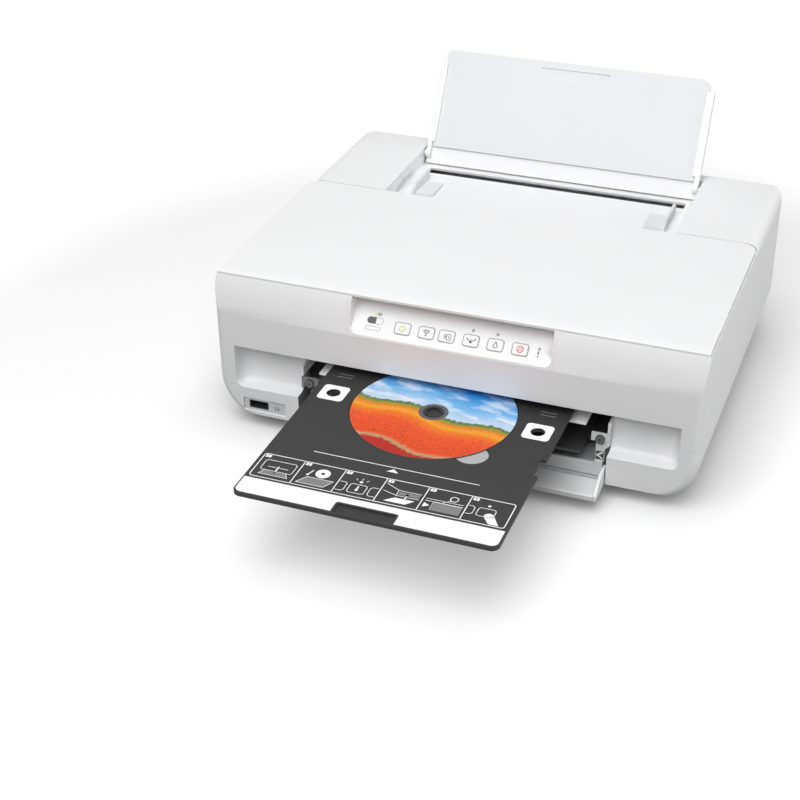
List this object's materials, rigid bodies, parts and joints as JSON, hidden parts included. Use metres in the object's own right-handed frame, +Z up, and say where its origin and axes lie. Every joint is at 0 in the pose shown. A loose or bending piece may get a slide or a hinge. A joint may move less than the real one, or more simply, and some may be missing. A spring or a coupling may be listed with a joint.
{
  "type": "disc label printer",
  "caption": "Desktop ink printer with a slide-in disc tray, let-down front cover, paper cassette, key panel, lid and rear paper support.",
  "frame": {"origin": "on the table, under the middle of the whole machine with the disc tray out and the paper support up", "axes": "+Z up, +Y from the front to the back, +X to the right of someone facing the front"},
  "size_m": [0.373, 0.498, 0.2019],
  "materials": {
    "white_plastic": "fine satin grain",
    "grey_plastic": "satin",
    "dark_plastic": "satin",
    "clear_keys": "gloss",
    "lamps": "gloss",
    "disc_face": "printed gloss",
    "bare_steel": "zinc plated",
    "ground_steel": "ground",
    "roller_rubber": "matt",
    "gear_plastic": "natural",
    "motor_can": "plated",
    "clear_film": "clear",
    "cartridge_case": "satin",
    "supply_case": "satin",
    "circuit_board": "solder mask"
  },
  "bodies": {
    "casing": {"lower_shell": "white_plastic", "upper_shell": "white_plastic", "rear_door": "white_plastic", "key_panel": "white_plastic", "status_lamps": "lamps", "usb_plate": "grey_plastic", "usb_socket": "bare_steel", "rubber_feet": "roller_rubber", "tray_guide_left": "grey_plastic", "tray_guide_right": "grey_plastic", "bracket_left": "bare_steel", "bracket_right": "bare_steel", "bracket_screws": "bare_steel", "chassis": "bare_steel", "carriage_rod": "ground_steel", "platen": "dark_plastic", "feed_motor": "motor_can", "timing_belt": "roller_rubber", "carriage_motor": "motor_can", "encoder_strip": "clear_film", "cap_station": "dark_plastic", "power_supply": "supply_case", "main_board": "circuit_board", "ac_inlet": "dark_plastic", "data_port": "dark_plastic"},
    "lid": {"top_lid": "white_plastic"},
    "support": {"paper_support": "white_plastic"},
    "leaf": {"support_leaf": "white_plastic"},
    "right_guide": {"side_guide_right": "white_plastic"},
    "left_guide": {"side_guide_left": "white_plastic"},
    "tray": {"disc_tray": "dark_plastic", "disc": "disc_face"},
    "cover": {"front_cover": "white_plastic"},
    "cassette": {"paper_cassette": "grey_plastic"},
    "stacker": {"output_tray": "dark_plastic"},
    "print_carriage": {"carriage": "dark_plastic", "print_head": "dark_plastic", "ink_cartridge_1": "cartridge_case", "ink_cartridge_2": "cartridge_case", "ink_cartridge_3": "cartridge_case", "ink_cartridge_4": "cartridge_case", "ink_cartridge_5": "cartridge_case", "ink_cartridge_6": "cartridge_case"},
    "drive_pulley": {"motor_pulley": "gear_plastic"},
    "return_pulley": {"idler_pulley": "gear_plastic"},
    "feed": {"feed_roller": "roller_rubber", "feed_gear": "gear_plastic"},
    "eject": {"eject_roller": "roller_rubber", "eject_gear": "gear_plastic"},
    "idler": {"idler_gear": "gear_plastic"},
    "pinion": {"motor_pinion": "gear_plastic"},
    "pinch": {"pinch_roller": "roller_rubber"},
    "stars": {"star_wheels": "gear_plastic"},
    "power_button": {"power_key": "clear_keys"},
    "wireless_button": {"wireless_key": "clear_keys"},
    "network_button": {"network_key": "clear_keys"},
    "tray_button": {"tray_key": "clear_keys"},
    "ink_button": {"ink_key": "clear_keys"},
    "cancel_button": {"cancel_key": "clear_keys"}
  },
  "joints": [
    {"name": "tray_slide", "type": "slide", "parent": "casing", "child": "tray", "axis": [0, 1, 0], "range_m": [-0.06, 0.168]},
    {"name": "front_cover_hinge", "type": "hinge", "parent": "casing", "child": "cover", "pos_m": [0, -0.07867, 0.0132], "axis": [1, 0, 0], "range_deg": [-90, 0]},
    {"name": "cassette_slide", "type": "slide", "parent": "casing", "child": "cassette", "axis": [0, -1, 0], "range_m": [0, 0.2]},
    {"name": "stacker_slide", "type": "slide", "parent": "casing", "child": "stacker", "axis": [0, -1, 0], "range_m": [0, 0.12]},
    {"name": "lid_hinge", "type": "hinge", "parent": "casing", "child": "lid", "pos_m": [0, 0.09833, 0.1228], "axis": [-1, 0, 0], "range_deg": [0, 50]},
    {"name": "support_hinge", "type": "hinge", "parent": "casing", "child": "support", "pos_m": [0, 0.19933, 0.1228], "axis": [1, 0, 0], "range_deg": [0, 120]},
    {"name": "leaf_slide", "type": "slide", "parent": "support", "child": "leaf", "axis": [0, -0.5, -0.866], "range_m": [-0.065, 0]},
    {"name": "right_guide_slide", "type": "slide", "parent": "casing", "child": "right_guide", "axis": [-1, 0, 0], "range_m": [0, 0.055]},
    {"name": "left_guide_slide", "type": "slide", "parent": "casing", "child": "left_guide", "axis": [1, 0, 0], "range_m": [0, 0.055]},
    {"name": "power_press", "type": "slide", "parent": "casing", "child": "power_button", "axis": [0, 0.7071, -0.7071], "range_m": [0, 0.0009], "stiffness_N_per_m": 250, "springref_m": -0.001},
    {"name": "wireless_press", "type": "slide", "parent": "casing", "child": "wireless_button", "axis": [0, 0.7071, -0.7071], "range_m": [0, 0.0009], "stiffness_N_per_m": 250, "springref_m": -0.001},
    {"name": "network_press", "type": "slide", "parent": "casing", "child": "network_button", "axis": [0, 0.7071, -0.7071], "range_m": [0, 0.0009], "stiffness_N_per_m": 250, "springref_m": -0.001},
    {"name": "tray_press", "type": "slide", "parent": "casing", "child": "tray_button", "axis": [0, 0.7071, -0.7071], "range_m": [0, 0.0009], "stiffness_N_per_m": 250, "springref_m": -0.001},
    {"name": "ink_press", "type": "slide", "parent": "casing", "child": "ink_button", "axis": [0, 0.7071, -0.7071], "range_m": [0, 0.0009], "stiffness_N_per_m": 250, "springref_m": -0.001},
    {"name": "cancel_press", "type": "slide", "parent": "casing", "child": "cancel_button", "axis": [0, 0.7071, -0.7071], "range_m": [0, 0.0009], "stiffness_N_per_m": 250, "springref_m": -0.001},
    {"name": "carriage_slide", "type": "slide", "parent": "casing", "child": "print_carriage", "axis": [1, 0, 0], "range_m": [-0.218, 0]},
    {"name": "drive_pulley_spin", "type": "hinge", "parent": "casing", "child": "drive_pulley", "pos_m": [-0.148, 0.05813, 0.1045], "axis": [0, 1, 0], "range_deg": [-5, 2052.6]},
    {"name": "return_pulley_spin", "type": "hinge", "parent": "casing", "child": "return_pulley", "pos_m": [0.148, 0.05813, 0.1045], "axis": [0, 1, 0], "range_deg": [-5, 2052.6]},
    {"name": "feed_spin", "type": "hinge", "parent": "casing", "child": "feed", "pos_m": [0, 0.05233, 0.0546], "axis": [1, 0, 0], "continuous": true},
    {"name": "eject_spin", "type": "hinge", "parent": "casing", "child": "eject", "pos_m": [0, -0.02967, 0.0546], "axis": [1, 0, 0], "continuous": true},
    {"name": "idler_spin", "type": "hinge", "parent": "casing", "child": "idler", "pos_m": [-0.167, 0.00933, 0.0546], "axis": [1, 0, 0], "continuous": true},
    {"name": "pinion_spin", "type": "hinge", "parent": "casing", "child": "pinion", "pos_m": [-0.167, 0.06633, 0.03035], "axis": [1, 0, 0], "continuous": true},
    {"name": "pinch_spin", "type": "hinge", "parent": "casing", "child": "pinch", "pos_m": [0, 0.05233, 0.0675], "axis": [1, 0, 0], "continuous": true},
    {"name": "star_spin", "type": "hinge", "parent": "casing", "child": "stars", "pos_m": [0, -0.02967, 0.0685], "axis": [1, 0, 0], "continuous": true}
  ],
  "couplings": [
    {"joint": "left_guide_slide", "follows": "right_guide_slide", "ratio": 1},
    {"joint": "drive_pulley_spin", "follows": "carriage_slide", "rad_per_m": -163.93},
    {"joint": "return_pulley_spin", "follows": "carriage_slide", "rad_per_m": -163.93},
    {"joint": "idler_spin", "follows": "feed_spin", "ratio": -1.0476},
    {"joint": "eject_spin", "follows": "feed_spin", "ratio": 1.2222},
    {"joint": "pinion_spin", "follows": "feed_spin", "ratio": -3.6667}
  ]
}
